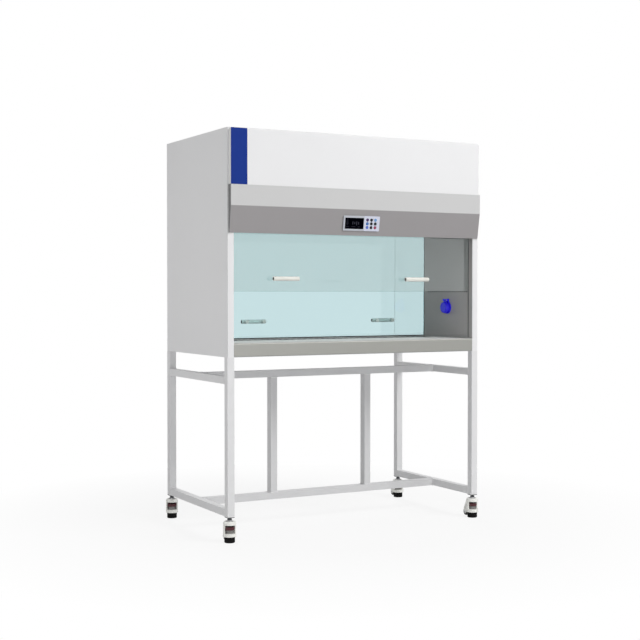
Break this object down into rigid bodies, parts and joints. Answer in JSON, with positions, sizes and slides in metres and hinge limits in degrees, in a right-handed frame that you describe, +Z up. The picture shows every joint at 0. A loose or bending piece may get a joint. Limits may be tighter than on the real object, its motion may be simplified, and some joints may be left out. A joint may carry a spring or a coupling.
{
  "type": "laminar flow hood",
  "caption": "Floor-standing laminar flow hood: steel cabinet with sliding glass sashes, key panel, filter and fan above, on a tube stand with levelling casters.",
  "frame": {"origin": "on the floor under the middle of the overall box", "axes": "+X to the right seen from the front, +Y to the back, +Z up"},
  "size_m": [1.324, 0.77, 1.776],
  "materials": {
    "panel_paint": "satin powder coat",
    "hood_paint": "satin powder coat",
    "stand_paint": "satin powder coat",
    "liner_steel": "brushed",
    "worktop_steel": "brushed",
    "grille_steel": "brushed",
    "galvanised": "galvanised",
    "sash_glass": "clear, pale blue-green",
    "handle_ivory": "semi-gloss",
    "filter_media": "matt",
    "filter_frame": "anodised",
    "impeller_alloy": "satin",
    "motor_black": "satin",
    "lamp_white": "opal",
    "panel_face": "satin film",
    "display_black": "glossy",
    "key_purple": "glossy",
    "key_black": "glossy",
    "key_sky": "glossy",
    "key_blue": "glossy",
    "key_violet": "glossy",
    "key_crimson": "glossy",
    "socket_blue": "glossy",
    "plated_steel": "zinc plated",
    "caster_ivory": "semi-gloss",
    "dial_red": "satin",
    "wheel_black": "satin",
    "foot_rubber": "matt"
  },
  "bodies": {
    "cabinet": {"side_panel_left": "panel_paint", "side_panel_right": "panel_paint", "roof_panel": "panel_paint", "front_cover": "panel_paint", "rear_cover": "panel_paint", "front_hood": "hood_paint", "liner_left": "liner_steel", "liner_right": "liner_steel", "base_pan": "galvanised", "worktop": "worktop_steel", "return_grille": "grille_steel", "pre_filter": "filter_media", "plenum_box": "galvanised", "diffuser": "filter_frame", "hepa_filter": "filter_media", "fan_inlet": "galvanised", "fan_motor": "motor_black", "led_lamp": "lamp_white", "uv_lamp": "lamp_white", "control_panel": "panel_face", "display_window": "display_black", "socket_base": "socket_blue", "socket_pin": "plated_steel", "stand_side_left": "stand_paint", "stand_side_right": "stand_paint", "stand_centre": "stand_paint", "caster_studs": "plated_steel"},
    "front_sash": {"front_sash": "sash_glass", "front_handle_left": "handle_ivory", "front_handle_right": "handle_ivory"},
    "rear_sash": {"rear_sash": "sash_glass", "rear_handle_left": "handle_ivory", "rear_handle_right": "handle_ivory"},
    "impeller": {"fan_impeller": "impeller_alloy"},
    "socket_cap": {"socket_lid": "socket_blue"},
    "key_1": {"key_1": "key_purple"},
    "key_2": {"key_2": "key_black"},
    "key_3": {"key_3": "key_sky"},
    "key_4": {"key_4": "key_blue"},
    "key_5": {"key_5": "key_black"},
    "key_6": {"key_6": "key_black"},
    "key_7": {"key_7": "key_violet"},
    "key_8": {"key_8": "key_black"},
    "key_9": {"key_9": "key_crimson"},
    "swivel_front_left": {"housing_front_left": "caster_ivory"},
    "foot_front_left": {"foot_front_left": "foot_rubber"},
    "dial_front_left": {"dial_front_left": "dial_red"},
    "wheel_front_left": {"wheel_front_left": "wheel_black"},
    "swivel_front_right": {"housing_front_right": "caster_ivory"},
    "foot_front_right": {"foot_front_right": "foot_rubber"},
    "dial_front_right": {"dial_front_right": "dial_red"},
    "wheel_front_right": {"wheel_front_right": "wheel_black"},
    "swivel_rear_left": {"housing_rear_left": "caster_ivory"},
    "foot_rear_left": {"foot_rear_left": "foot_rubber"},
    "dial_rear_left": {"dial_rear_left": "dial_red"},
    "wheel_rear_left": {"wheel_rear_left": "wheel_black"},
    "swivel_rear_right": {"housing_rear_right": "caster_ivory"},
    "foot_rear_right": {"foot_rear_right": "foot_rubber"},
    "dial_rear_right": {"dial_rear_right": "dial_red"},
    "wheel_rear_right": {"wheel_rear_right": "wheel_black"}
  },
  "joints": [
    {"name": "front_sash_slide", "type": "slide", "parent": "cabinet", "child": "front_sash", "axis": [0, 0, 1], "range_m": [-0.22, 0.13]},
    {"name": "rear_sash_slide", "type": "slide", "parent": "cabinet", "child": "rear_sash", "axis": [0, 0, 1], "range_m": [0, 0.3455]},
    {"name": "impeller_spin", "type": "hinge", "parent": "cabinet", "child": "impeller", "pos_m": [0, -0.13225, 1.5445], "axis": [0, 0, 1], "continuous": true},
    {"name": "socket_cap_hinge", "type": "hinge", "parent": "cabinet", "child": "socket_cap", "pos_m": [0.604, -0.15225, 1.036], "axis": [0, 1, 0], "range_deg": [0, 100], "stiffness_Nm_per_rad": 0.05, "springref_deg": -11.46},
    {"name": "key_1_press", "type": "slide", "parent": "cabinet", "child": "key_1", "axis": [0, -0.9882, -0.1533], "range_m": [-0.001, 0], "stiffness_N_per_m": 400, "springref_m": 0.0003},
    {"name": "key_2_press", "type": "slide", "parent": "cabinet", "child": "key_2", "axis": [0, -0.9882, -0.1533], "range_m": [-0.001, 0], "stiffness_N_per_m": 400, "springref_m": 0.0003},
    {"name": "key_3_press", "type": "slide", "parent": "cabinet", "child": "key_3", "axis": [0, -0.9882, -0.1533], "range_m": [-0.001, 0], "stiffness_N_per_m": 400, "springref_m": 0.0003},
    {"name": "key_4_press", "type": "slide", "parent": "cabinet", "child": "key_4", "axis": [0, -0.9882, -0.1533], "range_m": [-0.001, 0], "stiffness_N_per_m": 400, "springref_m": 0.0003},
    {"name": "key_5_press", "type": "slide", "parent": "cabinet", "child": "key_5", "axis": [0, -0.9882, -0.1533], "range_m": [-0.001, 0], "stiffness_N_per_m": 400, "springref_m": 0.0003},
    {"name": "key_6_press", "type": "slide", "parent": "cabinet", "child": "key_6", "axis": [0, -0.9882, -0.1533], "range_m": [-0.001, 0], "stiffness_N_per_m": 400, "springref_m": 0.0003},
    {"name": "key_7_press", "type": "slide", "parent": "cabinet", "child": "key_7", "axis": [0, -0.9882, -0.1533], "range_m": [-0.001, 0], "stiffness_N_per_m": 400, "springref_m": 0.0003},
    {"name": "key_8_press", "type": "slide", "parent": "cabinet", "child": "key_8", "axis": [0, -0.9882, -0.1533], "range_m": [-0.001, 0], "stiffness_N_per_m": 400, "springref_m": 0.0003},
    {"name": "key_9_press", "type": "slide", "parent": "cabinet", "child": "key_9", "axis": [0, -0.9882, -0.1533], "range_m": [-0.001, 0], "stiffness_N_per_m": 400, "springref_m": 0.0003},
    {"name": "swivel_front_left", "type": "hinge", "parent": "cabinet", "child": "swivel_front_left", "pos_m": [-0.634, -0.34425, 0.092], "axis": [0, 0, 1], "continuous": true},
    {"name": "foot_front_left_lift", "type": "slide", "parent": "swivel_front_left", "child": "foot_front_left", "axis": [0, 0, 1], "range_m": [0, 0.01]},
    {"name": "dial_front_left_turn", "type": "hinge", "parent": "swivel_front_left", "child": "dial_front_left", "pos_m": [-0.634, -0.34425, 0.055], "axis": [0, 0, 1], "range_deg": [0, 1800]},
    {"name": "wheel_front_left_roll", "type": "hinge", "parent": "swivel_front_left", "child": "wheel_front_left", "pos_m": [-0.62956, -0.30198, 0.022], "axis": [0.9945, -0.1045, 0], "continuous": true},
    {"name": "swivel_front_right", "type": "hinge", "parent": "cabinet", "child": "swivel_front_right", "pos_m": [0.634, -0.34425, 0.092], "axis": [0, 0, 1], "continuous": true},
    {"name": "foot_front_right_lift", "type": "slide", "parent": "swivel_front_right", "child": "foot_front_right", "axis": [0, 0, 1], "range_m": [0, 0.01]},
    {"name": "dial_front_right_turn", "type": "hinge", "parent": "swivel_front_right", "child": "dial_front_right", "pos_m": [0.634, -0.34425, 0.055], "axis": [0, 0, 1], "range_deg": [0, 1800]},
    {"name": "wheel_front_right_roll", "type": "hinge", "parent": "swivel_front_right", "child": "wheel_front_right", "pos_m": [0.634, -0.30175, 0.022], "axis": [1, 0, 0], "continuous": true},
    {"name": "swivel_rear_left", "type": "hinge", "parent": "cabinet", "child": "swivel_rear_left", "pos_m": [-0.634, 0.32375, 0.092], "axis": [0, 0, 1], "continuous": true},
    {"name": "foot_rear_left_lift", "type": "slide", "parent": "swivel_rear_left", "child": "foot_rear_left", "axis": [0, 0, 1], "range_m": [0, 0.01]},
    {"name": "dial_rear_left_turn", "type": "hinge", "parent": "swivel_rear_left", "child": "dial_rear_left", "pos_m": [-0.634, 0.32375, 0.055], "axis": [0, 0, 1], "range_deg": [0, 1800]},
    {"name": "wheel_rear_left_roll", "type": "hinge", "parent": "swivel_rear_left", "child": "wheel_rear_left", "pos_m": [-0.61671, 0.36258, 0.022], "axis": [0.9135, -0.4067, 0], "continuous": true},
    {"name": "swivel_rear_right", "type": "hinge", "parent": "cabinet", "child": "swivel_rear_right", "pos_m": [0.634, 0.32375, 0.092], "axis": [0, 0, 1], "continuous": true},
    {"name": "foot_rear_right_lift", "type": "slide", "parent": "swivel_rear_right", "child": "foot_rear_right", "axis": [0, 0, 1], "range_m": [0, 0.01]},
    {"name": "dial_rear_right_turn", "type": "hinge", "parent": "swivel_rear_right", "child": "dial_rear_right", "pos_m": [0.634, 0.32375, 0.055], "axis": [0, 0, 1], "range_deg": [0, 1800]},
    {"name": "wheel_rear_right_roll", "type": "hinge", "parent": "swivel_rear_right", "child": "wheel_rear_right", "pos_m": [0.63548, 0.36622, 0.022], "axis": [0.9994, -0.0349, 0], "continuous": true}
  ],
  "couplings": [
    {"joint": "dial_front_left_turn", "follows": "foot_front_left_lift", "rad_per_m": 3141.6},
    {"joint": "dial_front_right_turn", "follows": "foot_front_right_lift", "rad_per_m": 3141.6},
    {"joint": "dial_rear_left_turn", "follows": "foot_rear_left_lift", "rad_per_m": 3141.6},
    {"joint": "dial_rear_right_turn", "follows": "foot_rear_right_lift", "rad_per_m": 3141.6}
  ]
}
